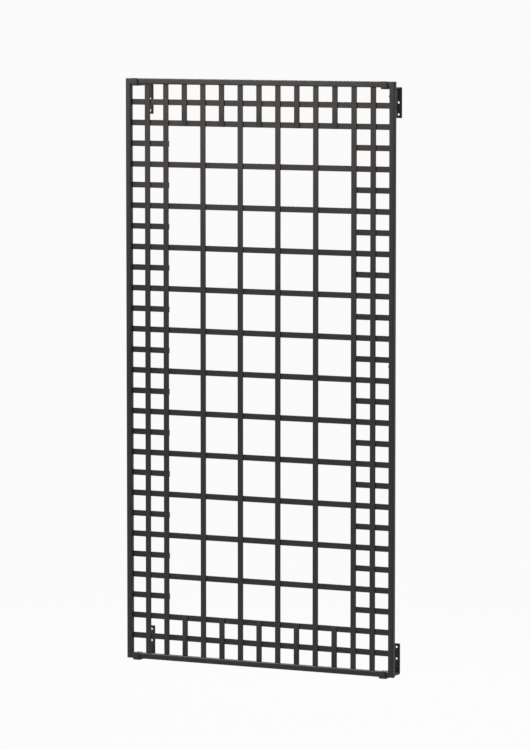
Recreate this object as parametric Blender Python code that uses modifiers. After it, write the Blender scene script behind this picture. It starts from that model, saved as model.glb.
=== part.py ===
"""Metal wall trellis: a grid of flat bars in a frame of square tube, hung on four wall brackets.

Metres, +Z up. The wall is the plane y = 0 and the panel stands in front of it, towards -Y.
The origin is on the wall, behind the middle of the panel. Lines of bars are counted from the
left-hand and from the top, and the small squares between them are all the same size.
"""

import math

import bmesh
import bpy
from mathutils import Matrix, Vector

# Room between two pieces that touch
GAP = 0.0003

# Frame of mitred square tube
TUBE = 0.018
TUBE_WALL = 0.0015
TUBE_CORNER = 0.0038

# Grid of flat bars
BAR_WIDTH = 0.018
BAR_THICKNESS = 0.0035
BAR_EDGE = 0.0005
OPENING = 0.0465
COLUMNS = 14
ROWS = 28
GRID_SETBACK = 0.006

# Wall brackets, each a bent strip: a lip, an arm under the rail and a plate on the wall, with
# a short stop of the same strip welded on the arm behind the rail
STANDOFF = 0.0885
STRIP_WIDTH = 0.0215
STRIP_THICKNESS = 0.004
STRIP_BEND = 0.002
STRIP_CORNER = 0.0015
STRIP_EDGE = 0.0004
LIP_ROOM = 0.0012
LIP_OVER_RAIL = 0.002
STOP_WIDTH = 0.0205
STOP_OVER_RAIL = 0.0009
TOP_PLATE_HEIGHT = 0.0946
BOTTOM_PLATE_HEIGHT = 0.0918
HOLE_DIAMETER = 0.007
HOLE_FROM_END = 0.011
HOLE_SPACING = 0.0364
TOP_SIDE_ROOM = 0.0043
BOTTOM_SIDE_ROOM = 0.006
TOP_ARM_ROOM = 0.0013

# Plugs in the right-hand stile's inner face
PLUG_HEAD = 0.0105
PLUG_RIM = 0.0016
PLUG_DOME = 0.0008
PLUG_HOLE = 0.0074
PLUG_STEM_LENGTH = 0.006
TOP_PLUG_ABOVE_BAR = 0.0195
MIDDLE_PLUG_BELOW_BAR = 0.0105

# Facets
CORNER_STEPS = 5
BEND_STEPS = 6
ROUND_STEPS = 24
STRIP_CORNER_STEPS = 3
SHARP_ANGLE = math.radians(30)

# Points nearer than this become one
MERGE = 0.00001

# Sizes that follow
WIDTH = 2 * TUBE + COLUMNS * OPENING + (COLUMNS - 1) * BAR_WIDTH
HEIGHT = 2 * TUBE + ROWS * OPENING + (ROWS - 1) * BAR_WIDTH
FRONT = -(STANDOFF + TUBE)
LIP_HEIGHT = TUBE + LIP_OVER_RAIL
STOP_HEIGHT = TUBE + STOP_OVER_RAIL
UPRIGHT_DEPTH = GRID_SETBACK + BAR_THICKNESS / 2
CROSSBAR_DEPTH = UPRIGHT_DEPTH + BAR_THICKNESS + GAP


def line_middle(line):
    """Distance from the frame's outer face to the middle of a line of bars."""
    return TUBE + line * OPENING + (line - 0.5) * BAR_WIDTH


def line_x(line):
    return line_middle(line) - WIDTH / 2


def line_z(line):
    """Height above the panel's foot, as the panel's pieces are placed from there."""
    return HEIGHT - line_middle(line)


def full_lines(count):
    """Lines whose bar runs right across: the outer two, and every second one between."""
    return [line for line in range(1, count) if line in (1, count - 1) or line % 2 == 0]


def short_lines(count):
    """Lines between them, whose bars only cross the border of small squares."""
    return [line for line in range(2, count - 1) if line % 2]


def clear_scene():
    for obj in list(bpy.data.objects):
        bpy.data.objects.remove(obj)


def new_collection(name):
    collection = bpy.data.collections.new(name)
    bpy.context.scene.collection.children.link(collection)
    return collection


def finish(name, colour, roughness, metallic=0.0):
    material = bpy.data.materials.new(name)
    material.use_nodes = True
    shader = material.node_tree.nodes["Principled BSDF"]
    shader.inputs["Base Color"].default_value = (*colour, 1.0)
    shader.inputs["Roughness"].default_value = roughness
    shader.inputs["Metallic"].default_value = metallic
    return material


def place(name, data, collection, parent, location, rotation=(0, 0, 0)):
    obj = bpy.data.objects.new(name, data)
    collection.objects.link(obj)
    obj.parent = parent
    obj.location = location
    obj.rotation_euler = rotation
    return obj


def new_mesh(name, bm, material=None):
    mesh = bpy.data.meshes.new(name)
    bmesh.ops.recalc_face_normals(bm, faces=bm.faces)
    bm.to_mesh(mesh)
    bm.free()
    if material:
        mesh.materials.append(material)
    return mesh


def round_edges(obj, width):
    bevel = obj.modifiers.new("rounded edges", "BEVEL")
    bevel.width = width
    bevel.segments = 1
    bevel.limit_method = "ANGLE"
    bevel.angle_limit = SHARP_ANGLE


def combine(obj, other, operation):
    """Cuts the other object from this one, or joins it on, and keeps the other as a guide."""
    other.hide_render = True
    other.display_type = "WIRE"
    boolean = obj.modifiers.new(operation.lower(), "BOOLEAN")
    boolean.operation = operation
    boolean.solver = "EXACT"
    boolean.object = other


def settle(obj):
    """Keeps what the modifiers make as the object's own mesh, smooth between its sharp edges."""
    graph = bpy.context.evaluated_depsgraph_get()
    mesh = bpy.data.meshes.new_from_object(obj.evaluated_get(graph))
    obj.modifiers.clear()
    obj.data = mesh
    mesh.shade_smooth()
    mesh.set_sharp_from_angle(angle=SHARP_ANGLE)


def rounded_square(side, radius):
    """Outline of a square about the origin, its corners turned on a radius."""
    reach = side / 2 - radius
    outline = []
    for quarter, (across, up) in enumerate([(1, 1), (-1, 1), (-1, -1), (1, -1)]):
        for step in range(CORNER_STEPS + 1):
            angle = (quarter + step / CORNER_STEPS) * math.pi / 2
            x = across * reach + radius * math.cos(angle)
            y = up * reach + radius * math.sin(angle)
            outline.append((x, y))
    return outline


def tube_mesh(name, length, material):
    """Hollow tube along Z with mitred ends, its outer face on x = 0 and its front on y = 0."""
    curve = bpy.data.curves.new(name, "CURVE")
    curve.dimensions = "2D"
    curve.fill_mode = "BOTH"
    curve.extrude = length / 2
    bore = rounded_square(TUBE - 2 * TUBE_WALL, TUBE_CORNER - TUBE_WALL)
    for outline in (rounded_square(TUBE, TUBE_CORNER), bore):
        spline = curve.splines.new("POLY")
        spline.points.add(len(outline) - 1)
        for point, (x, y) in zip(spline.points, outline):
            point.co = (x + TUBE / 2, y + TUBE / 2, 0, 1)
        spline.use_cyclic_u = True

    source = place(name, curve, bpy.context.scene.collection, None, (0, 0, 0))
    graph = bpy.context.evaluated_depsgraph_get()
    mesh = bpy.data.meshes.new_from_object(source.evaluated_get(graph))
    bpy.data.objects.remove(source)

    # Each end point moves back along the tube by its distance from the outer face.
    cut_back = GAP / math.sqrt(2)
    bm = bmesh.new()
    bm.from_mesh(mesh)
    bpy.data.meshes.remove(mesh)
    bmesh.ops.remove_doubles(bm, verts=bm.verts, dist=MERGE)
    for vertex in bm.verts:
        end = length / 2 - cut_back - vertex.co.x
        vertex.co.z = math.copysign(end, vertex.co.z)
    mesh = new_mesh(name, bm, material)
    mesh.shade_smooth()
    mesh.set_sharp_from_angle(angle=SHARP_ANGLE)
    return mesh


def bars_mesh(name, boxes, material):
    """Flat bars, each given by its middle and its size."""
    bm = bmesh.new()
    for middle, size in boxes:
        bmesh.ops.create_cube(bm, size=1, matrix=Matrix.LocRotScale(middle, None, size))
    return new_mesh(name, bm, material)


def one_bar(name, size, material):
    return bars_mesh(name, [(Vector(), Vector(size))], material)


def round_cutter(name, diameter, length, middles, along, collection, parent, location):
    """Cylinders lying along an axis, in one object that cuts round holes."""
    turn = Vector((0, 0, 1)).rotation_difference(Vector(along)).to_matrix().to_4x4()
    bm = bmesh.new()
    for middle in middles:
        bmesh.ops.create_cone(
            bm,
            cap_ends=True,
            segments=ROUND_STEPS,
            radius1=diameter / 2,
            radius2=diameter / 2,
            depth=length,
            matrix=Matrix.Translation(middle) @ turn,
        )
    return place(name, new_mesh(name, bm), collection, parent, location)


def build_frame(panel, parts, cutters, material):
    """Two stiles and two rails. The short uprights are welded to the rails, as one node each."""
    stile = tube_mesh("stile", HEIGHT, material)
    rail = tube_mesh("rail", WIDTH, material)
    quarter_turn = math.pi / 2
    place("left_stile", stile, parts, panel, (-WIDTH / 2, 0, HEIGHT / 2))
    right = place("right_stile", stile, parts, panel, (WIDTH / 2, TUBE, HEIGHT / 2), (0, 0, math.pi))
    top = place("top_rail", rail, parts, panel, (0, 0, HEIGHT), (0, quarter_turn, 0))
    bottom = place("bottom_rail", rail, parts, panel, (0, 0, 0), (0, -quarter_turn, 0))

    into_wall = TUBE_WALL / 2
    border_edge = line_middle(2) + BAR_WIDTH / 2
    length = border_edge - TUBE + into_wall
    middle_drop = border_edge - length / 2
    for owner, middle in ((top, HEIGHT - middle_drop), (bottom, middle_drop)):
        boxes = []
        for line in short_lines(COLUMNS):
            size = Vector((BAR_WIDTH, BAR_THICKNESS, length))
            boxes.append((Vector((line_x(line), UPRIGHT_DEPTH, middle)), size))
        name = owner.name + "_short_uprights"
        shorts = place(name, bars_mesh(name, boxes, material), cutters, panel, (0, 0, 0))
        round_edges(shorts, BAR_EDGE)
        combine(owner, shorts, "UNION")
        settle(owner)

    hole_x = WIDTH / 2 - TUBE + TUBE_WALL / 2
    middles = [Vector((hole_x, TUBE / 2, height)) for height in plug_heights()]
    holes = round_cutter(
        "plug_holes", PLUG_HOLE, 2 * TUBE_WALL, middles, (1, 0, 0), cutters, panel, (0, 0, 0)
    )
    combine(right, holes, "DIFFERENCE")
    settle(right)


def build_grid(panel, parts, material):
    """Uprights in front, crossbars behind them, and short crossbars in the side borders."""
    clear_width = WIDTH - 2 * TUBE
    clear_height = HEIGHT - 2 * TUBE
    upright = one_bar("upright", (BAR_WIDTH, BAR_THICKNESS, clear_height - 2 * GAP), material)
    for number, line in enumerate(full_lines(COLUMNS), 1):
        location = (line_x(line), UPRIGHT_DEPTH, HEIGHT / 2)
        bar = place(f"upright_{number:02d}", upright, parts, panel, location)
        round_edges(bar, BAR_EDGE)

    crossbar = one_bar("crossbar", (clear_width - 2 * GAP, BAR_THICKNESS, BAR_WIDTH), material)
    for number, line in enumerate(full_lines(ROWS), 1):
        location = (0, CROSSBAR_DEPTH, line_z(line))
        bar = place(f"crossbar_{number:02d}", crossbar, parts, panel, location)
        round_edges(bar, BAR_EDGE)

    # A short crossbar ends flush with the far edge of the second upright, behind it.
    length = line_middle(2) + BAR_WIDTH / 2 - TUBE - GAP
    from_middle = clear_width / 2 - GAP - length / 2
    short = one_bar("short_crossbar", (length, BAR_THICKNESS, BAR_WIDTH), material)
    for side, sign in (("left", -1), ("right", 1)):
        for number, line in enumerate(short_lines(ROWS), 1):
            location = (sign * from_middle, CROSSBAR_DEPTH, line_z(line))
            bar = place(f"{side}_short_bar_{number:02d}", short, parts, panel, location)
            round_edges(bar, BAR_EDGE)


def bent_path(corners, radius):
    """Points through square corners, each corner but the ends turned on a radius."""
    path = [corners[0]]
    for before, corner, after in zip(corners, corners[1:], corners[2:]):
        back = (before - corner).normalized()
        ahead = (after - corner).normalized()
        centre = corner + (back + ahead) * radius
        for step in range(BEND_STEPS + 1):
            turn = step / BEND_STEPS * math.pi / 2
            path.append(centre - (ahead * math.cos(turn) + back * math.sin(turn)) * radius)
    path.append(corners[-1])
    return path


def bracket_mesh(name, plate_way, plate_height, material):
    """Bent strip as a sheet at mid-thickness, with the arm's top at z = 0 and the wall at y = 0.

    The plate runs up the wall from the arm where plate_way is 1, and down where it is -1.
    """
    half = STRIP_THICKNESS / 2
    lip_y = FRONT - LIP_ROOM - half
    corners = [
        Vector((0, lip_y, LIP_HEIGHT)),
        Vector((0, lip_y, -half)),
        Vector((0, -half, -half)),
        Vector((0, -half, plate_way * plate_height)),
    ]
    path = bent_path(corners, STRIP_BEND + half)

    bm = bmesh.new()
    side = [bm.verts.new(point - Vector((STRIP_WIDTH / 2, 0, 0))) for point in path]
    edges = [bm.edges.new(pair) for pair in zip(side, side[1:])]
    swept = bmesh.ops.extrude_edge_only(bm, edges=edges)["geom"]
    far_side = [item for item in swept if isinstance(item, bmesh.types.BMVert)]
    bmesh.ops.translate(bm, verts=far_side, vec=(STRIP_WIDTH, 0, 0))
    end_corners = [vertex for vertex in bm.verts if len(vertex.link_edges) == 2]
    bmesh.ops.bevel(
        bm,
        geom=end_corners,
        affect="VERTICES",
        offset=STRIP_CORNER,
        segments=STRIP_CORNER_STEPS,
        profile=0.5,
    )
    return new_mesh(name, bm, material)


def stop_mesh(name, material):
    """Short upright piece of strip, its foot sunk into the arm whose top is z = 0."""
    sunk = STRIP_THICKNESS / 2
    middle = Vector((0, 0, (STOP_HEIGHT - sunk) / 2))
    size = Vector((STOP_WIDTH, STRIP_THICKNESS, STOP_HEIGHT + sunk))
    bm = bmesh.new()
    bmesh.ops.create_cube(bm, size=1, matrix=Matrix.LocRotScale(middle, None, size))
    top = [vertex for vertex in bm.verts if vertex.co.z > middle.z]
    corners = [
        edge
        for edge in bm.edges
        if edge.verts[0] in top and edge.verts[1] in top and edge.verts[0].co.x == edge.verts[1].co.x
    ]
    bmesh.ops.bevel(
        bm,
        geom=corners,
        affect="EDGES",
        offset=STRIP_CORNER,
        segments=STRIP_CORNER_STEPS,
        profile=0.5,
    )
    return new_mesh(name, bm, material)


def build_brackets(parts, cutters, material):
    """The two lower brackets carry the panel, and the two upper ones keep it upright."""
    foot = -HEIGHT / 2
    levels = (
        ("top", -1, TOP_PLATE_HEIGHT, foot + HEIGHT - TUBE - TOP_ARM_ROOM, TOP_SIDE_ROOM),
        ("bottom", 1, BOTTOM_PLATE_HEIGHT, foot - GAP, BOTTOM_SIDE_ROOM),
    )
    for level, plate_way, plate_height, arm_top, side_room in levels:
        mesh = bracket_mesh("bracket_" + level, plate_way, plate_height, material)
        stop_y = FRONT + TUBE + GAP + STRIP_THICKNESS / 2
        end_hole = plate_height - HOLE_FROM_END
        heights = (end_hole, end_hole - HOLE_SPACING)
        middles = [Vector((0, -STRIP_THICKNESS / 2, plate_way * height)) for height in heights]
        for side, sign in (("left", -1), ("right", 1)):
            x = sign * (WIDTH / 2 - TUBE - side_room - STRIP_WIDTH / 2)
            name = f"wall_bracket_{level}_{side}"
            bracket = place(name, mesh, parts, None, (x, 0, arm_top))
            solidify = bracket.modifiers.new("strip thickness", "SOLIDIFY")
            solidify.thickness = STRIP_THICKNESS
            solidify.offset = 0
            solidify.use_even_offset = True
            round_edges(bracket, STRIP_EDGE)
            stop = place(name + "_stop", stop_mesh("stop", material), cutters, None, (x, stop_y, arm_top))
            round_edges(stop, STRIP_EDGE)
            combine(bracket, stop, "UNION")
            screw_holes = round_cutter(
                name + "_holes",
                HOLE_DIAMETER,
                2 * STRIP_THICKNESS,
                middles,
                (0, 1, 0),
                cutters,
                None,
                (x, 0, arm_top),
            )
            combine(bracket, screw_holes, "DIFFERENCE")
            settle(bracket)


def plug_heights():
    """Heights of the two plugs above the panel's foot, each measured from the bar beside it."""
    top = line_z(1) + BAR_WIDTH / 2 + TOP_PLUG_ABOVE_BAR
    middle = line_z(ROWS // 2 - 1) - BAR_WIDTH / 2 - MIDDLE_PLUG_BELOW_BAR
    return top, middle


def build_plugs(panel, parts, material):
    """Button plugs, turned about Z, their stems in the holes of the right-hand stile."""
    stem = PLUG_HOLE / 2 - GAP
    profile = []
    for step in range(CORNER_STEPS + 1):
        angle = (1 - step / CORNER_STEPS) * math.pi / 2
        profile.append((PLUG_HEAD / 2 * math.cos(angle), PLUG_RIM + PLUG_DOME * math.sin(angle)))
    profile += [(PLUG_HEAD / 2, 0), (stem, 0), (stem, -PLUG_STEM_LENGTH), (0, -PLUG_STEM_LENGTH)]

    bm = bmesh.new()
    points = [bm.verts.new((x, 0, z)) for x, z in profile]
    for pair in zip(points, points[1:]):
        bm.edges.new(pair)
    mesh = new_mesh("plug", bm, material)
    for name, height in zip(("side_plug_top", "side_plug_middle"), plug_heights()):
        location = (WIDTH / 2 - TUBE - GAP, TUBE / 2, height)
        plug = place(name, mesh, parts, panel, location, (0, -math.pi / 2, 0))
        screw = plug.modifiers.new("turned", "SCREW")
        screw.steps = ROUND_STEPS
        screw.render_steps = ROUND_STEPS
        screw.use_merge_vertices = True
        screw.merge_threshold = MERGE
        settle(plug)


def build_trellis():
    clear_scene()
    parts = new_collection("wall_trellis")
    cutters = new_collection("cutters")
    tube_coat = finish("charcoal coat on tube", (0.052, 0.049, 0.046), 0.58)
    bar_coat = finish("charcoal coat on bars", (0.050, 0.048, 0.045), 0.60)
    bracket_coat = finish("charcoal coat on brackets", (0.042, 0.041, 0.042), 0.55)
    plug_plastic = finish("black plastic", (0.020, 0.020, 0.021), 0.45)

    # The panel's pieces hang from one empty at its foot, in the plane of the frame's front.
    panel = place("panel", None, parts, None, (0, FRONT, -HEIGHT / 2))
    bpy.context.view_layer.update()
    build_frame(panel, parts, cutters, tube_coat)
    build_grid(panel, parts, bar_coat)
    build_plugs(panel, parts, plug_plastic)
    build_brackets(parts, cutters, bracket_coat)


build_trellis()
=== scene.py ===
"""Looks of the metal wall trellis: powder-coated tube, bars and brackets, with their welds.

Metres, in the frame's own axes: the wall is the plane y = 0, the panel stands in front of it towards
-Y, and +Z is up. The flat bars are the frame's own nodes. The tubes, the brackets with their stops and
the plugs are rounder pieces of the same size in the place of theirs. The welds are pieces of their
own, and so are the short uprights, which share a node with their rail in the frame.
"""

import math
import random

import bmesh
import bpy
from mathutils import Matrix, Vector


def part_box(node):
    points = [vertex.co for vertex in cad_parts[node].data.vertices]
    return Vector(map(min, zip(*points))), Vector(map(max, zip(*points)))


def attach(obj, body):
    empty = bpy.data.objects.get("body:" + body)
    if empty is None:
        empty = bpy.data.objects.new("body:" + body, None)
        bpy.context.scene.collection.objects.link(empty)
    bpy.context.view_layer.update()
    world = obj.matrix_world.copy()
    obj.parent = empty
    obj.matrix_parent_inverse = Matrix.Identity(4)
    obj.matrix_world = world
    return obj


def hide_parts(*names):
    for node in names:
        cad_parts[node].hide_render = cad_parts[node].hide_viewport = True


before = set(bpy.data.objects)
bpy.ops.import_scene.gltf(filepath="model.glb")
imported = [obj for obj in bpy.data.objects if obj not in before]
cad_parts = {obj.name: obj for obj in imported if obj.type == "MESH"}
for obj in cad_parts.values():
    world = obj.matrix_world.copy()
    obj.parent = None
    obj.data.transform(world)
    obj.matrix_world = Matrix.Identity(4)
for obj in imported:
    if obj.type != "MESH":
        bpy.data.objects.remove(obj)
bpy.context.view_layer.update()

# Directions, and the numbers of the two axes that are seen from the front
RIGHT = Vector((1, 0, 0))
BACK = Vector((0, 1, 0))
UP = Vector((0, 0, 1))
X, Z = 0, 2
QUARTER_TURN = math.pi / 2

# Bevel profile of a quarter circle
ROUND = 0.5

# Frame tube
TUBE = 0.018
TUBE_CORNER = 0.0038
TUBE_CORNER_STEPS = 10

# Short uprights: how far an end runs into the rail that it is welded to, and its rounded edges
BAR_SINK = 0.0006
BAR_EDGE = 0.0005
BAR_EDGE_STEPS = 3

# Bracket strip
STRIP_THICKNESS = 0.004
STRIP_BEND = 0.002
STRIP_CORNER = 0.0015
STRIP_EDGE = 0.0004
BEND_STEPS = 12
CORNER_STEPS = 6
EDGE_STEPS = 3
LIP_HEIGHT = 0.020
HOLE_DIAMETER = 0.007
HOLE_FROM_END = 0.011
HOLE_SPACING = 0.0364
HOLE_STEPS = 40
DRILL_LENGTH = 3 * STRIP_THICKNESS

# Stop on the bracket's arm, behind the rail. It is narrower than the strip, and is sunk into it.
STOP_GAP = 0.0003
STOP_MARGIN = 0.0005
STOP_HEIGHT = 0.0189
STOP_SINK = 0.0005

# Plugs: a shallow dome with a moulding mark, whose flat floor is given as a share of its radius
PLUG_DOME = 0.0008
PLUG_DOME_STEPS = 10
PLUG_FIRST_STEP = 3
PLUG_TURN_STEPS = 48
MARK_RADIUS = 0.0012
MARK_DEPTH = PLUG_DOME / 4
MARK_FLOOR = 0.7
MERGE_DISTANCE = 0.000002

# Weld beads. The rise of the ripples, the bulge and the least size are shares of the leg.
TACK_LENGTH = 0.009
TACK_LEG = 0.0016
END_WELD_LENGTH = 0.0135
END_WELD_LEG = 0.0021
STOP_WELD_LENGTH = 0.0175
STOP_WELD_LEG = 0.0026
WELD_ROOT = 0.0004
RIPPLE_PITCH = 0.0011
RIPPLE_STEPS = 4
RIPPLE_RISE = 0.07
BEAD_BULGE = 0.28
BEAD_LEAST_SIZE = 0.12
BEAD_LEAST_STEPS = 8
BEAD_ARC_STEPS = 5

# How much hand-made welds differ from each other, and the seeds of their chances
BEAD_LEAN = 0.12
TACK_SHIFT = 0.0015
TACK_STRETCH = (0.85, 1.15)
MITRE_STRETCH = (0.75, 1.0)
GRID_WELD_SEED = 11
MITRE_WELD_SEED = 5

# Ground welds along the mitres. They end a little before the tubes' edges and taper towards them.
MITRE_BAND = 0.0030
MITRE_RISE = 0.00010
MITRE_THICKNESS = 0.0005
MITRE_END = 0.03
MITRE_TAPER = 0.8
MITRE_STEPS_ALONG = 40
MITRE_STEPS_ACROSS = 8

# Angles in degrees: an edge that turns more is shaded sharp, and on a bracket it is rounded
TUBE_SHARP = 35
BAR_SHARP = 35
BEAD_SHARP = 70
MITRE_SHARP = 50
BRACKET_SHARP = 30
BRACKET_ROUNDED = 30
PLUG_SHARP = 40

# Base colours
CHARCOAL = (0.0290, 0.0285, 0.0290)
BRACKET_CHARCOAL = (0.0285, 0.0280, 0.0285)
WELD_CHARCOAL = (0.0280, 0.0275, 0.0280)
# Light grey laid on faces that look up: partly dust, partly painted light from above
DUST_AND_TOP_LIGHT_COLOUR = (0.20, 0.19, 0.175)
BLACK = (0.016, 0.016, 0.017)

# Noises
CLOUDS = dict(Scale=9.0, Detail=4.0, Roughness=0.6)
FLECKS = dict(Scale=900.0, Detail=2.0, Roughness=0.5)
ORANGE_PEEL = dict(Scale=650.0, Detail=3.0, Roughness=0.55)
WEAR = dict(Scale=60.0, Detail=3.0, Roughness=0.7)
DUST_AND_TOP_LIGHT_CLOUDS = dict(Scale=35.0, Detail=5.0, Roughness=0.65)
PLASTIC_CLOUDS = dict(Scale=120.0, Detail=2.0, Roughness=0.5)
PLASTIC_GRAIN = dict(Scale=2600.0, Detail=2.0, Roughness=0.5)

# What a noise, or the cosine of an angle, is mapped from and to
FULL = (0.0, 1.0)
NOISE_VALUES = (0.3, 0.7)
FLECK_VALUES, FLECK_SHARES = (0.58, 0.72), (0.0, 0.3)
EDGE_VALUES = (0.995, 0.86)
WEAR_VALUES, WEAR_SHARES = (0.45, 0.70), (0.0, 0.25)
FACING_UP_VALUES = (0.55, 1.0)
DUST_AND_TOP_LIGHT_VALUES, DUST_AND_TOP_LIGHT_SHARES = (0.35, 0.75), (0.01, 0.07)

# Tones of a colour, each a factor on it and what is then added
DARKER = (0.92, 0.0)
LIGHTER = (1.08, 0.0)
FLECK = (1.7, 0.004)
RUBBED = (1.6, 0.006)
PLASTIC_LIGHTER = (1.4, 0.0)

# Surface
EDGE_RADIUS = 0.0009
EDGE_SAMPLES = 4
COAT_SPECULAR = 0.2
COAT_ROUGHNESS_SPREAD = (-0.04, 0.05)
PLASTIC_ROUGHNESS_SPREAD = (-0.05, 0.08)
PEEL_STRENGTH, PEEL_DEPTH = 0.6, 0.00018
GRAIN_STRENGTH, GRAIN_DEPTH = 0.3, 0.00005

# Sockets of a Mix node that carry colours
MIX_FIRST = 6
MIX_SECOND = 7
MIX_RESULT = 2

# Floor and background, with the share of the floor's look that glows instead of being lit
FLOOR_BELOW = 1.6
FLOOR_RADIUS = 400
FLOOR_SIDES = 96
FLOOR_GREY = (0.5, 0.5, 0.5)
FLOOR_GLOW = 1.07
FLOOR_GLOW_SHARE = 0.88
BACKGROUND = 0.965

# Light. The far lamps stand so far off that their light is nearly parallel, and so they are strong.
AMBIENT = 0.29
AMBIENT_COLOUR = (0.97, 0.98, 1.0)
WHITE = (0.94, 0.97, 1.0)
WARM = (1.0, 0.96, 0.77)
AMBER = (1.0, 0.65, 0.64)
PEACH = (1.0, 0.87, 0.70)
COOL = (0.92, 0.91, 1.0)
FAR = 30
FROM_LEFT = Vector((-0.48, -1.0, 0.08)).normalized() * FAR
FROM_ABOVE = Vector((-0.44, -0.06, 0.894)) * FAR
ORIGIN = (0, 0, 0)
PANEL_MIDDLE = (0, -0.1, 0)
UPPER_HALF = (0, -0.1, 0.5)
BELOW_PANEL = (0, -0.1, -1.3)
ABOVE_PANEL = Vector((-0.12, -0.1, 1.3))

# The photograph's camera
YAW = math.radians(26.158)
PITCH = math.radians(5.338)
DISTANCE = 13.792
AIM = Vector((0.0243, -0.1065, 0.0030))
LENS = 214.5
SENSOR = 36
NEAREST, FARTHEST = 0.1, 2000


# Meshes and pieces

def node_box(name):
    """Lowest and highest corner of a node."""
    low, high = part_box(name)
    return low.copy(), high.copy()


def join_rings(bm, rings):
    """Skins a row of rings and closes both ends."""
    count = len(rings[0])
    for ring, following in zip(rings, rings[1:]):
        for k in range(count):
            after = (k + 1) % count
            bm.faces.new((ring[k], ring[after], following[after], following[k]))
    bm.faces.new(rings[0])
    bm.faces.new(rings[-1])


def mesh_object(name, bm):
    """Puts a finished mesh in the scene."""
    mesh = bpy.data.meshes.new(name)
    bmesh.ops.recalc_face_normals(bm, faces=bm.faces)
    bm.to_mesh(mesh)
    bm.free()
    obj = bpy.data.objects.new(name, mesh)
    bpy.context.scene.collection.objects.link(obj)
    return obj


def piece(name, bm, material, sharp_angle, body, stands_for=()):
    """Puts a finished mesh in the scene as a piece of the trellis, riding on its body."""
    obj = mesh_object(name, bm)
    obj.data.materials.append(material)
    obj.data.shade_smooth()
    obj.data.set_sharp_from_angle(angle=math.radians(sharp_angle))
    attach(obj, body)
    if stands_for:
        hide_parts(*stands_for)


# Materials

class Nodes:
    """Short hand for building a material's node tree."""

    def __init__(self, name):
        self.material = bpy.data.materials.new(name)
        self.material.use_nodes = True
        self.tree = self.material.node_tree
        self.shader = self.tree.nodes["Principled BSDF"]

    def add(self, kind, **settings):
        """Adds a node. A setting is one of its sockets by name, or else one of its properties."""
        node = self.tree.nodes.new(kind)
        for key, value in settings.items():
            if key in node.inputs:
                node.inputs[key].default_value = value
            else:
                setattr(node, key, value)
        return node

    def join(self, source, output, target, socket):
        self.tree.links.new(source.outputs[output], target.inputs[socket])


def add_noise(nodes, place, settings):
    node = nodes.add("ShaderNodeTexNoise", **settings)
    nodes.join(place, "Object", node, "Vector")
    return node


def remap(nodes, source, output, values, results):
    """Maps a source's values to the results, and holds it at their ends beyond."""
    node = nodes.add("ShaderNodeMapRange")
    for socket, value in zip(("From Min", "From Max", "To Min", "To Max"), (*values, *results)):
        node.inputs[socket].default_value = value
    nodes.join(source, output, node, "Value")
    return node


def product(nodes, first, second):
    """Multiplies two remapped values."""
    node = nodes.add("ShaderNodeMath", operation="MULTIPLY")
    nodes.join(first, "Result", node, 0)
    nodes.join(second, "Result", node, 1)
    return node


def mix_colour(nodes, factor, output, first, second):
    """Mixes two colours. Each is a plain colour, or a Mix node whose colour it takes."""
    node = nodes.add("ShaderNodeMix", data_type="RGBA")
    nodes.join(factor, output, node, "Factor")
    for socket, colour in ((MIX_FIRST, first), (MIX_SECOND, second)):
        if isinstance(colour, tuple):
            node.inputs[socket].default_value = (*colour, 1.0)
        else:
            nodes.join(colour, MIX_RESULT, node, socket)
    return node


def tinted(colour, tone):
    """A colour in one of the tones above."""
    factor, added = tone
    return tuple(channel * factor + added for channel in colour)


def set_roughness(nodes, noise, roughness, spread):
    """Lets the roughness follow a noise, within a spread of its own value."""
    least, most = spread
    rough = remap(nodes, noise, "Fac", NOISE_VALUES, (roughness + least, roughness + most))
    nodes.join(rough, "Result", nodes.shader, "Roughness")


def set_bump(nodes, noise, strength, depth):
    bump = nodes.add("ShaderNodeBump", Strength=strength, Distance=depth)
    nodes.join(noise, "Fac", bump, "Height")
    nodes.join(bump, "Normal", nodes.shader, "Normal")


def rubbed_share(nodes, place, geometry):
    """Where the coat is rubbed: in patches along the edges, where it is thin."""
    rounded = nodes.add("ShaderNodeBevel", samples=EDGE_SAMPLES, Radius=EDGE_RADIUS)
    turned = nodes.add("ShaderNodeVectorMath", operation="DOT_PRODUCT")
    nodes.join(geometry, "Normal", turned, 0)
    nodes.join(rounded, "Normal", turned, 1)
    edge = remap(nodes, turned, "Value", EDGE_VALUES, FULL)
    wear = add_noise(nodes, place, WEAR)
    return product(nodes, edge, remap(nodes, wear, "Fac", WEAR_VALUES, WEAR_SHARES))


def dust_and_top_light_share(nodes, place, geometry):
    """Where dust lies, a little, in clouds, on the faces that look up. It also stands for painted light
    from above on those top faces.
    """
    up = nodes.add("ShaderNodeSeparateXYZ")
    nodes.join(geometry, "Normal", up, "Vector")
    facing_up = remap(nodes, up, "Z", FACING_UP_VALUES, FULL)
    dust_and_top_light_noise = add_noise(nodes, place, DUST_AND_TOP_LIGHT_CLOUDS)
    return product(nodes, facing_up, remap(nodes, dust_and_top_light_noise, "Fac", DUST_AND_TOP_LIGHT_VALUES, DUST_AND_TOP_LIGHT_SHARES))


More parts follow.
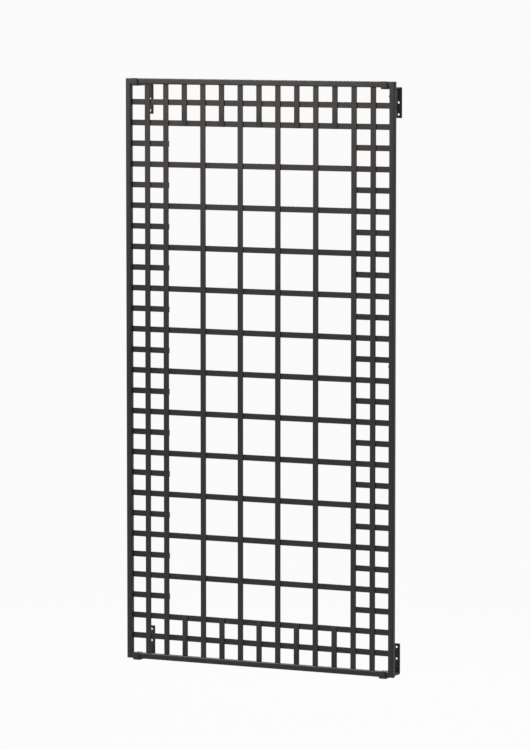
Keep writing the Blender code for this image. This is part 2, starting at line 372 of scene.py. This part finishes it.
def powder_coat(name, colour, roughness, grain=1.0):
    """Matte powder coat: fine orange peel, faint clouding, rubbed edges, and dust with painted light
    from above on what faces up.
    """
    nodes = Nodes(name)
    place = nodes.add("ShaderNodeTexCoord")
    geometry = nodes.add("ShaderNodeNewGeometry")
    clouds = add_noise(nodes, place, CLOUDS)
    cloud_share = remap(nodes, clouds, "Fac", NOISE_VALUES, FULL)
    cloudy = mix_colour(nodes, cloud_share, "Result", tinted(colour, DARKER), tinted(colour, LIGHTER))
    flecks = add_noise(nodes, place, FLECKS)
    fleck_share = remap(nodes, flecks, "Fac", FLECK_VALUES, FLECK_SHARES)
    flecked = mix_colour(nodes, fleck_share, "Result", cloudy, tinted(colour, FLECK))
    rubbed = rubbed_share(nodes, place, geometry)
    worn = mix_colour(nodes, rubbed, "Value", flecked, tinted(colour, RUBBED))
    # Faces that look up are lightened: partly dust, partly painted light from above
    dusty_and_top_lit = mix_colour(nodes, dust_and_top_light_share(nodes, place, geometry), "Value", worn, DUST_AND_TOP_LIGHT_COLOUR)
    nodes.join(dusty_and_top_lit, MIX_RESULT, nodes.shader, "Base Color")
    nodes.shader.inputs["Specular IOR Level"].default_value = COAT_SPECULAR
    set_roughness(nodes, clouds, roughness, COAT_ROUGHNESS_SPREAD)
    set_bump(nodes, add_noise(nodes, place, ORANGE_PEEL), PEEL_STRENGTH * grain, PEEL_DEPTH)
    return nodes.material


def moulded_plastic(name, colour, roughness):
    """Moulded plastic with a fine spark-eroded grain."""
    nodes = Nodes(name)
    place = nodes.add("ShaderNodeTexCoord")
    clouds = add_noise(nodes, place, PLASTIC_CLOUDS)
    share = remap(nodes, clouds, "Fac", NOISE_VALUES, FULL)
    cloudy = mix_colour(nodes, share, "Result", colour, tinted(colour, PLASTIC_LIGHTER))
    nodes.join(cloudy, MIX_RESULT, nodes.shader, "Base Color")
    grain = add_noise(nodes, place, PLASTIC_GRAIN)
    set_roughness(nodes, grain, roughness, PLASTIC_ROUGHNESS_SPREAD)
    set_bump(nodes, grain, GRAIN_STRENGTH, GRAIN_DEPTH)
    return nodes.material


TUBE_COAT = powder_coat("charcoal coat on tube", CHARCOAL, roughness=0.52)
BAR_COAT = powder_coat("charcoal coat on bars", CHARCOAL, roughness=0.53)
BRACKET_COAT = powder_coat("charcoal coat on brackets", BRACKET_CHARCOAL, roughness=0.52)
WELD_COAT = powder_coat("charcoal coat on welds", WELD_CHARCOAL, roughness=0.50, grain=1.6)
PLUG_PLASTIC = moulded_plastic("black plastic", BLACK, roughness=0.45)


# The panel, read from the frame

def nodes_named(start):
    return sorted(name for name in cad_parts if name.startswith(start))


UPRIGHTS = nodes_named("upright_")
CROSSBARS = nodes_named("crossbar_")
SHORT_BARS = nodes_named("left_short_bar_") + nodes_named("right_short_bar_")
PANEL_LOW = node_box("left_stile")[0]
PANEL_HIGH = node_box("right_stile")[1]
PANEL_WIDTH = PANEL_HIGH.x - PANEL_LOW.x
PANEL_HEIGHT = PANEL_HIGH.z - PANEL_LOW.z
FRONT = PANEL_LOW.y
LEVELS = (("top", PANEL_HIGH.z, -UP), ("bottom", PANEL_LOW.z, UP))
SIDES = (("left", PANEL_LOW.x, RIGHT), ("right", PANEL_HIGH.x, -RIGHT))


# Tubes

def rounded_square():
    """Outline of the tube: (distance from the outer face, distance from the front face)."""
    reach = TUBE / 2 - TUBE_CORNER
    outline = []
    for quarter, (across, deep) in enumerate([(1, 1), (-1, 1), (-1, -1), (1, -1)]):
        for step in range(TUBE_CORNER_STEPS + 1):
            angle = (quarter + step / TUBE_CORNER_STEPS) * QUARTER_TURN
            from_outer = TUBE / 2 + across * reach + TUBE_CORNER * math.cos(angle)
            from_front = TUBE / 2 + deep * reach + TUBE_CORNER * math.sin(angle)
            outline.append((from_outer, from_front))
    return outline


def tube_mesh(corner, inward, along, length):
    """Tube with mitred ends, swept along a line. Corner is where its outer front edge starts."""
    bm = bmesh.new()
    rings = []
    for at_start in (True, False):
        ring = []
        for from_outer, from_front in rounded_square():
            run = from_outer if at_start else length - from_outer
            point = corner + inward * from_outer + along * run + Vector((0, from_front, 0))
            ring.append(bm.verts.new(point))
        rings.append(ring)
    join_rings(bm, rings)
    return bm


def build_tubes():
    tubes = []
    for side, x, inward in SIDES:
        corner = Vector((x, FRONT, PANEL_LOW.z))
        tubes.append((f"{side}_stile", tube_mesh(corner, inward, UP, PANEL_HEIGHT)))
    for level, z, inward in LEVELS:
        corner = Vector((PANEL_LOW.x, FRONT, z))
        tubes.append((f"{level}_rail", tube_mesh(corner, inward, RIGHT, PANEL_WIDTH)))
    for node, bm in tubes:
        piece(f"{node}_tube", bm, TUBE_COAT, TUBE_SHARP, "panel", stands_for=(node,))


# Bars

def short_uprights():
    """The short uprights at both ends of the grid, halfway between the long ones.

    Each is given as its lowest corner, its highest corner and the level of its rail. It runs from the
    rail past the first crossbar to the far edge of the second.
    """
    boxes = [node_box(name) for name in UPRIGHTS]
    top_foot = node_box(CROSSBARS[1])[0].z
    bottom_head = node_box(CROSSBARS[-2])[1].z
    found = []
    for (low_a, high_a), (low_b, high_b) in zip(boxes[1:-2], boxes[2:-1]):
        low_x, high_x = (low_a.x + low_b.x) / 2, (high_a.x + high_b.x) / 2
        for level, low_z, high_z in (
            ("top", top_foot, PANEL_HIGH.z - TUBE + BAR_SINK),
            ("bottom", PANEL_LOW.z + TUBE - BAR_SINK, bottom_head),
        ):
            found.append((Vector((low_x, low_a.y, low_z)), Vector((high_x, high_a.y, high_z)), level))
    return found


def bar_mesh(low, high):
    """Flat bar with rounded edges between two corners."""
    bm = bmesh.new()
    middle = (low + high) / 2
    bmesh.ops.create_cube(bm, size=1, matrix=Matrix.LocRotScale(middle, None, high - low))
    edges = list(bm.edges)
    bmesh.ops.bevel(
        bm, geom=edges, affect="EDGES", offset=BAR_EDGE, segments=BAR_EDGE_STEPS, profile=ROUND
    )
    return bm


def build_bars():
    """The bars that have nodes of their own keep them, and the short uprights are made here."""
    for name in UPRIGHTS + CROSSBARS + SHORT_BARS:
        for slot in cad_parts[name].material_slots:
            slot.material = BAR_COAT
    counts = {"top": 0, "bottom": 0}
    for low, high, level in short_uprights():
        counts[level] += 1
        name = f"{level}_short_upright_{counts[level]:02d}"
        piece(name, bar_mesh(low, high), BAR_COAT, BAR_SHARP, "panel")


# Weld beads

def add_bead(bm, start, end, first, second, leg, chance):
    """Rippled fillet weld in a corner. First and second point away from it along the two faces."""
    along = end - start
    length = along.length
    along = along.normalized()
    steps = max(BEAD_LEAST_STEPS, round(length / RIPPLE_PITCH) * RIPPLE_STEPS)
    phase = chance.random() * math.tau
    lean = 1 + chance.uniform(-BEAD_LEAN, BEAD_LEAN)
    rings = []
    for step in range(steps + 1):
        run = step / steps * length
        from_end = min(run, length - run)
        dome = math.sqrt(max(0.0, 1 - max(0.0, 1 - from_end / leg) ** 2))
        ripple = 1 + RIPPLE_RISE * abs(math.sin(phase + run / RIPPLE_PITCH * math.pi))
        size = leg * max(BEAD_LEAST_SIZE, dome) * ripple
        centre = start + along * run
        ring = [bm.verts.new(centre - (first + second) * WELD_ROOT)]
        for arc_step in range(BEAD_ARC_STEPS + 1):
            share = arc_step / BEAD_ARC_STEPS
            bulge = 1 + BEAD_BULGE * math.sin(share * math.pi)
            along_first = size * lean * (1 - share) * bulge
            along_second = size / lean * share * bulge
            offset = first * along_first + second * along_second
            if arc_step == 0:
                offset -= second * WELD_ROOT
            if arc_step == BEAD_ARC_STEPS:
                offset -= first * WELD_ROOT
            ring.append(bm.verts.new(centre + offset))
        rings.append(ring)
    join_rings(bm, rings)


def crosses(low_a, high_a, low_b, high_b):
    """Whether two boxes overlap as they are seen from the front."""
    return all(low_a[axis] < high_b[axis] and high_a[axis] > low_b[axis] for axis in (X, Z))


def add_tacks(bm, low, high, uprights, chance):
    """Tacks behind each upright that a crossbar passes, below and above the crossbar."""
    for up_low, up_high in uprights:
        if not crosses(low, high, up_low, up_high):
            continue
        x = (up_low.x + up_high.x) / 2
        for z, away in ((low.z, -UP), (high.z, UP)):
            beyond = z + away.z * TACK_LEG
            if not up_low.z < beyond < up_high.z:
                continue
            shift = chance.uniform(-TACK_SHIFT, TACK_SHIFT)
            half = TACK_LENGTH / 2 * chance.uniform(*TACK_STRETCH)
            start = Vector((x + shift - half, up_high.y, z))
            end = Vector((x + shift + half, up_high.y, z))
            add_bead(bm, start, end, away, BACK, TACK_LEG, chance)


def add_crossbar_fillets(bm, low, high, chance):
    """Fillets behind the ends of a crossbar that reach a stile."""
    z = (low.z + high.z) / 2
    half = END_WELD_LENGTH / 2
    for near, x, inward in (
        (low.x - TUBE < PANEL_LOW.x + TUBE, PANEL_LOW.x + TUBE, RIGHT),
        (high.x + TUBE > PANEL_HIGH.x - TUBE, PANEL_HIGH.x - TUBE, -RIGHT),
    ):
        if near:
            start = Vector((x, high.y, z - half))
            end = Vector((x, high.y, z + half))
            add_bead(bm, start, end, inward, BACK, END_WELD_LEG, chance)


def add_upright_fillets(bm, low, high, chance):
    """Fillets behind the ends of an upright that reach a rail."""
    x = (low.x + high.x) / 2
    half = END_WELD_LENGTH / 2
    for near, z, inward in (
        (high.z > PANEL_HIGH.z - 2 * TUBE, PANEL_HIGH.z - TUBE, -UP),
        (low.z < PANEL_LOW.z + 2 * TUBE, PANEL_LOW.z + TUBE, UP),
    ):
        if near:
            start = Vector((x - half, high.y, z))
            end = Vector((x + half, high.y, z))
            add_bead(bm, start, end, inward, BACK, END_WELD_LEG, chance)


def build_grid_welds():
    """One piece with the welds of each crossbar, and one with the welds of all uprights' ends."""
    chance = random.Random(GRID_WELD_SEED)
    uprights = [node_box(name) for name in UPRIGHTS]
    uprights += [(low, high) for low, high, level in short_uprights()]
    for name in CROSSBARS + SHORT_BARS:
        low, high = node_box(name)
        bm = bmesh.new()
        add_tacks(bm, low, high, uprights, chance)
        add_crossbar_fillets(bm, low, high, chance)
        piece(f"{name}_welds", bm, WELD_COAT, BEAD_SHARP, "panel")

    bm = bmesh.new()
    for low, high in uprights:
        add_upright_fillets(bm, low, high, chance)
    piece("upright_end_welds", bm, WELD_COAT, BEAD_SHARP, "panel")


# Mitre welds

def tube_face(distance):
    """How far the tube's front surface lies behind its front plane, at a distance from its side."""
    from_side = min(distance, TUBE - distance)
    if from_side >= TUBE_CORNER:
        return 0.0
    across = TUBE_CORNER - max(0.0, from_side)
    return TUBE_CORNER - math.sqrt(max(0.0, TUBE_CORNER**2 - across**2))


def mitre_strip(bm, corner, inward_x, inward_z, front, chance):
    """One ground weld along a mitre, just proud of the tubes' front or back."""
    # The band lies at 45 degrees to both tubes, and this is half of it, measured along one of them.
    half_band = MITRE_BAND / math.sqrt(8)
    rows = []
    for step in range(MITRE_STEPS_ALONG + 1):
        seam = TUBE * (MITRE_END + (1 - 2 * MITRE_END) * step / MITRE_STEPS_ALONG)
        reach = min(half_band, MITRE_TAPER * seam, MITRE_TAPER * (TUBE - seam))
        rise = MITRE_RISE * chance.uniform(*MITRE_STRETCH)
        row = []
        for across in range(MITRE_STEPS_ACROSS + 1):
            share = 2 * across / MITRE_STEPS_ACROSS - 1
            from_side, from_end = seam + share * reach, seam - share * reach
            depth = tube_face(min(from_side, from_end)) - rise * (1 - share**4)
            y = FRONT + depth if front else FRONT + TUBE - depth
            point = corner + inward_x * from_side + inward_z * from_end + Vector((0, y, 0))
            row.append(bm.verts.new(point))
        rows.append(row)
    faces = []
    for row, following in zip(rows, rows[1:]):
        for k in range(MITRE_STEPS_ACROSS):
            faces.append(bm.faces.new((row[k], row[k + 1], following[k + 1], following[k])))
    return faces


def build_mitre_welds():
    """Welds along the mitres, ground nearly flush, on the front and the back of each corner."""
    chance = random.Random(MITRE_WELD_SEED)
    for level, z, inward_z in LEVELS:
        for side, x, inward_x in SIDES:
            bm = bmesh.new()
            corner = Vector((x, 0, z))
            for front in (True, False):
                faces = mitre_strip(bm, corner, inward_x, inward_z, front, chance)
                sunk = bmesh.ops.extrude_face_region(bm, geom=faces)["geom"]
                verts = [item for item in sunk if isinstance(item, bmesh.types.BMVert)]
                shift = MITRE_THICKNESS if front else -MITRE_THICKNESS
                bmesh.ops.translate(bm, verts=verts, vec=(0, shift, 0))
            piece(f"mitre_weld_{level}_{side}", bm, WELD_COAT, MITRE_SHARP, "panel")


# Brackets

def bent_path(corners, radius):
    """The path through some corners, with an arc in the place of each inner one."""
    path = [corners[0]]
    for before, corner, after in zip(corners, corners[1:], corners[2:]):
        back = (before - corner).normalized()
        ahead = (after - corner).normalized()
        centre = corner + (back + ahead) * radius
        for step in range(BEND_STEPS + 1):
            turn = step / BEND_STEPS * QUARTER_TURN
            path.append(centre - (ahead * math.cos(turn) + back * math.sin(turn)) * radius)
    path.append(corners[-1])
    return path


def bake_modifiers(obj):
    """Takes an object out of the scene and gives its mesh, with the modifiers applied."""
    bpy.context.view_layer.update()
    graph = bpy.context.evaluated_depsgraph_get()
    mesh = bpy.data.meshes.new_from_object(obj.evaluated_get(graph))
    bm = bmesh.new()
    bm.from_mesh(mesh)
    bpy.data.meshes.remove(mesh)
    bpy.data.objects.remove(obj)
    return bm


def soften(obj):
    """Rounds a bracket's cut edges a little."""
    bevel = obj.modifiers.new("rounded edges", "BEVEL")
    bevel.width = STRIP_EDGE
    bevel.segments = EDGE_STEPS
    bevel.limit_method = "ANGLE"
    bevel.angle_limit = math.radians(BRACKET_ROUNDED)


def strip_mesh(corners, width):
    """Sheet along the middle of the strip's thickness, with its four end corners rounded."""
    bm = bmesh.new()
    path = bent_path(corners, STRIP_BEND + STRIP_THICKNESS / 2)
    verts = [bm.verts.new(point - RIGHT * width / 2) for point in path]
    edges = [bm.edges.new(pair) for pair in zip(verts, verts[1:])]
    swept = bmesh.ops.extrude_edge_only(bm, edges=edges)["geom"]
    far = [item for item in swept if isinstance(item, bmesh.types.BMVert)]
    bmesh.ops.translate(bm, verts=far, vec=RIGHT * width)
    ends = [vertex for vertex in bm.verts if len(vertex.link_edges) == 2]
    bmesh.ops.bevel(
        bm, geom=ends, affect="VERTICES", offset=STRIP_CORNER, segments=CORNER_STEPS, profile=ROUND
    )
    return bm


def drill_mesh(places):
    """One cylinder through the plate for each hole."""
    bm = bmesh.new()
    turn = Matrix.Rotation(QUARTER_TURN, 4, "X")
    for place in places:
        bmesh.ops.create_cone(
            bm,
            cap_ends=True,
            segments=HOLE_STEPS,
            radius1=HOLE_DIAMETER / 2,
            radius2=HOLE_DIAMETER / 2,
            depth=DRILL_LENGTH,
            matrix=Matrix.Translation(place) @ turn,
        )
    return bm


def stop_mesh(middle, size):
    """Block whose two upper corners, seen from the front, are rounded."""
    bm = bmesh.new()
    bmesh.ops.create_cube(bm, size=1, matrix=Matrix.LocRotScale(middle, None, size))
    corners = [
        edge
        for edge in bm.edges
        if all(vertex.co.z > middle.z for vertex in edge.verts)
        and edge.verts[0].co.x == edge.verts[1].co.x
    ]
    bmesh.ops.bevel(
        bm, geom=corners, affect="EDGES", offset=STRIP_CORNER, segments=CORNER_STEPS, profile=ROUND
    )
    return bm


def build_strip(node, level, low, high, arm_top):
    """Strip with two bends and two holes: a lip, an arm below the rail, and a plate on the wall."""
    x = (low.x + high.x) / 2
    half = STRIP_THICKNESS / 2
    lip_y, plate_y = low.y + half, high.y - half
    plate_end, to_arm = (low.z, 1) if level == "top" else (high.z, -1)
    corners = [
        Vector((x, lip_y, arm_top + LIP_HEIGHT)),
        Vector((x, lip_y, arm_top - half)),
        Vector((x, plate_y, arm_top - half)),
        Vector((x, plate_y, plate_end)),
    ]
    strip = mesh_object("strip", strip_mesh(corners, high.x - low.x))
    solidify = strip.modifiers.new("thickness", "SOLIDIFY")
    solidify.thickness = STRIP_THICKNESS
    solidify.offset = 0
    solidify.use_even_offset = True
    places = [
        Vector((x, plate_y, plate_end + to_arm * distance))
        for distance in (HOLE_FROM_END, HOLE_FROM_END + HOLE_SPACING)
    ]
    drills = mesh_object("holes", drill_mesh(places))
    cut = strip.modifiers.new("holes", "BOOLEAN")
    cut.operation = "DIFFERENCE"
    cut.solver = "EXACT"
    cut.object = drills
    soften(strip)
    bm = bake_modifiers(strip)
    bpy.data.objects.remove(drills)
    name = f"{node}_strip"
    piece(name, bm, BRACKET_COAT, BRACKET_SHARP, "brackets", stands_for=(node,))


def build_stop(level, side, low, high, arm_top):
    """Stop on the arm, right behind the rail, and the weld behind it."""
    x = (low.x + high.x) / 2
    front = FRONT + TUBE + STOP_GAP
    width = high.x - low.x - 2 * STOP_MARGIN
    middle = Vector((x, front + STRIP_THICKNESS / 2, arm_top + (STOP_HEIGHT - STOP_SINK) / 2))
    size = Vector((width, STRIP_THICKNESS, STOP_HEIGHT + STOP_SINK))
    stop = mesh_object("stop", stop_mesh(middle, size))
    soften(stop)
    bm = bake_modifiers(stop)
    name = f"rear_stop_{level}_{side}"
    piece(name, bm, BRACKET_COAT, BRACKET_SHARP, "brackets")

    chance = random.Random(level + side)
    rear = front + STRIP_THICKNESS
    bm = bmesh.new()
    start = Vector((x - STOP_WELD_LENGTH / 2, rear, arm_top))
    end = Vector((x + STOP_WELD_LENGTH / 2, rear, arm_top))
    add_bead(bm, start, end, BACK, UP, STOP_WELD_LEG, chance)
    piece(f"stop_weld_{level}_{side}", bm, WELD_COAT, BEAD_SHARP, "brackets")


def build_brackets():
    for level in ("top", "bottom"):
        for side in ("left", "right"):
            node = f"wall_bracket_{level}_{side}"
            low, high = node_box(node)
            arm_top = high.z - LIP_HEIGHT if level == "top" else low.z + STRIP_THICKNESS
            build_strip(node, level, low, high, arm_top)
            build_stop(level, side, low, high, arm_top)


# Plugs

def build_plugs():
    """Button plugs with a small moulding mark in the middle of the head."""
    for node in ("side_plug_top", "side_plug_middle"):
        low, high = node_box(node)
        centre = (low + high) / 2
        radius = (high.z - low.z) / 2
        outer, seat = low.x, PANEL_HIGH.x - TUBE
        rim, floor = outer + PLUG_DOME, outer + MARK_DEPTH
        profile = [(0.0, floor), (MARK_RADIUS * MARK_FLOOR, floor), (MARK_RADIUS, outer)]
        for step in range(PLUG_FIRST_STEP, PLUG_DOME_STEPS + 1):
            angle = step / PLUG_DOME_STEPS * QUARTER_TURN
            profile.append((radius * math.sin(angle), rim - PLUG_DOME * math.cos(angle)))
        profile += [(radius, seat), (0.0, seat)]
        bm = bmesh.new()
        points = [bm.verts.new((x, centre.y + from_axis, centre.z)) for from_axis, x in profile]
        edges = [bm.edges.new(pair) for pair in zip(points, points[1:])]
        bmesh.ops.spin(
            bm,
            geom=points + edges,
            cent=centre,
            axis=RIGHT,
            dvec=(0, 0, 0),
            angle=math.tau,
            steps=PLUG_TURN_STEPS,
        )
        bmesh.ops.remove_doubles(bm, verts=bm.verts, dist=MERGE_DISTANCE)
        name = f"{node}_button"
        piece(name, bm, PLUG_PLASTIC, PLUG_SHARP, "panel", stands_for=(node,))


# Floor and background

def light_path_share(tree):
    """One for the rays that see the background: camera, glossy and transmission rays."""
    path = tree.nodes.new("ShaderNodeLightPath")
    total = path.outputs["Is Camera Ray"]
    for output in ("Is Glossy Ray", "Is Transmission Ray"):
        larger = tree.nodes.new("ShaderNodeMath")
        larger.operation = "MAXIMUM"
        tree.links.new(total, larger.inputs[0])
        tree.links.new(path.outputs[output], larger.inputs[1])
        total = larger.outputs[0]
    return total


def build_world():
    """Even light from all round, and a plain pale background for what is seen."""
    world = bpy.data.worlds.new("studio")
    bpy.context.scene.world = world
    world.use_nodes = True
    tree = world.node_tree
    ambient = tree.nodes["Background"]
    ambient.inputs["Color"].default_value = (*AMBIENT_COLOUR, 1.0)
    ambient.inputs["Strength"].default_value = AMBIENT
    seen = tree.nodes.new("ShaderNodeBackground")
    seen.inputs["Color"].default_value = (BACKGROUND, BACKGROUND, BACKGROUND, 1.0)
    mix = tree.nodes.new("ShaderNodeMixShader")
    tree.links.new(light_path_share(tree), mix.inputs["Fac"])
    tree.links.new(ambient.outputs[0], mix.inputs[1])
    tree.links.new(seen.outputs[0], mix.inputs[2])
    tree.links.new(mix.outputs[0], tree.nodes["World Output"].inputs["Surface"])


def build_floor():
    """Wide pale floor well below the hung panel. It keeps a share of its shading, and so the shadow."""
    bm = bmesh.new()
    bmesh.ops.create_circle(bm, cap_ends=True, radius=FLOOR_RADIUS, segments=FLOOR_SIDES)
    floor = mesh_object("floor", bm)
    floor.location.z = -FLOOR_BELOW
    material = bpy.data.materials.new("pale floor")
    material.use_nodes = True
    tree = material.node_tree
    shader = tree.nodes["Principled BSDF"]
    shader.inputs["Base Color"].default_value = (*FLOOR_GREY, 1.0)
    shader.inputs["Roughness"].default_value = 1.0
    shader.inputs["Specular IOR Level"].default_value = 0.0
    glow = tree.nodes.new("ShaderNodeEmission")
    glow.inputs["Color"].default_value = (FLOOR_GLOW, FLOOR_GLOW, FLOOR_GLOW, 1.0)
    share = tree.nodes.new("ShaderNodeMath")
    share.operation = "MULTIPLY"
    share.inputs[1].default_value = FLOOR_GLOW_SHARE
    tree.links.new(light_path_share(tree), share.inputs[0])
    mix = tree.nodes.new("ShaderNodeMixShader")
    tree.links.new(share.outputs[0], mix.inputs["Fac"])
    tree.links.new(shader.outputs[0], mix.inputs[1])
    tree.links.new(glow.outputs[0], mix.inputs[2])
    tree.links.new(mix.outputs[0], tree.nodes["Material Output"].inputs["Surface"])
    floor.data.materials.append(material)


# Lights and camera

def studio_light(name, place, aim, size, power, colour, cone=None):
    """Square soft light, or a round one with a soft-edged cone given in degrees."""
    data = bpy.data.lights.new(name, "SPOT" if cone else "AREA")
    if cone:
        data.shadow_soft_size = size / 2
        data.spot_size = math.radians(cone)
        data.spot_blend = 1.0
    else:
        data.size = size
    data.energy = power
    data.color = colour
    light = bpy.data.objects.new(name, data)
    bpy.context.scene.collection.objects.link(light)
    light.visible_camera = False
    light.location = place
    light.rotation_euler = (Vector(aim) - Vector(place)).to_track_quat("-Z", "Y").to_euler()


def build_lights():
    """Soft light from the front left and from above, warmer towards the top, and a little all round."""
    studio_light("key from the left", FROM_LEFT, ORIGIN, size=2.6, power=950, colour=WHITE)
    for name, power, colour, cone in (
        ("warm light at the top", 13300, WARM, 3.82),
        ("warm light farther down", 6200, AMBER, 5.7),
    ):
        place = ABOVE_PANEL + FROM_LEFT
        studio_light(name, place, ABOVE_PANEL, size=0.4, power=power, colour=colour, cone=cone)
    studio_light("front fill", (1.2, -3.5, 3.0), UPPER_HALF, size=1.6, power=46, colour=PEACH)
    studio_light("from the right", (5.0, 0.9, 1.0), PANEL_MIDDLE, size=1.0, power=34, colour=COOL)
    studio_light("overhead", FROM_ABOVE, BELOW_PANEL, size=3.0, power=101000, colour=COOL, cone=6.2)
    studio_light("behind", (-1.5, 4.5, 1.8), PANEL_MIDDLE, size=2.0, power=60, colour=COOL)


def build_camera():
    """A long lens, far off, at the photograph's angle and framing."""
    data = bpy.data.cameras.new("camera")
    data.lens = LENS
    data.sensor_width = SENSOR
    data.clip_start, data.clip_end = NEAREST, FARTHEST
    camera = bpy.data.objects.new("camera", data)
    bpy.context.scene.collection.objects.link(camera)
    level = math.cos(PITCH)
    forward = Vector((-math.sin(YAW) * level, math.cos(YAW) * level, -math.sin(PITCH)))
    camera.location = AIM - forward * DISTANCE
    camera.rotation_euler = forward.to_track_quat("-Z", "Y").to_euler()
    bpy.context.scene.camera = camera


build_tubes()
build_bars()
build_grid_welds()
build_mitre_welds()
build_brackets()
build_plugs()
build_world()
build_floor()
build_lights()
build_camera()
bpy.context.scene.view_settings.view_transform = "Standard"
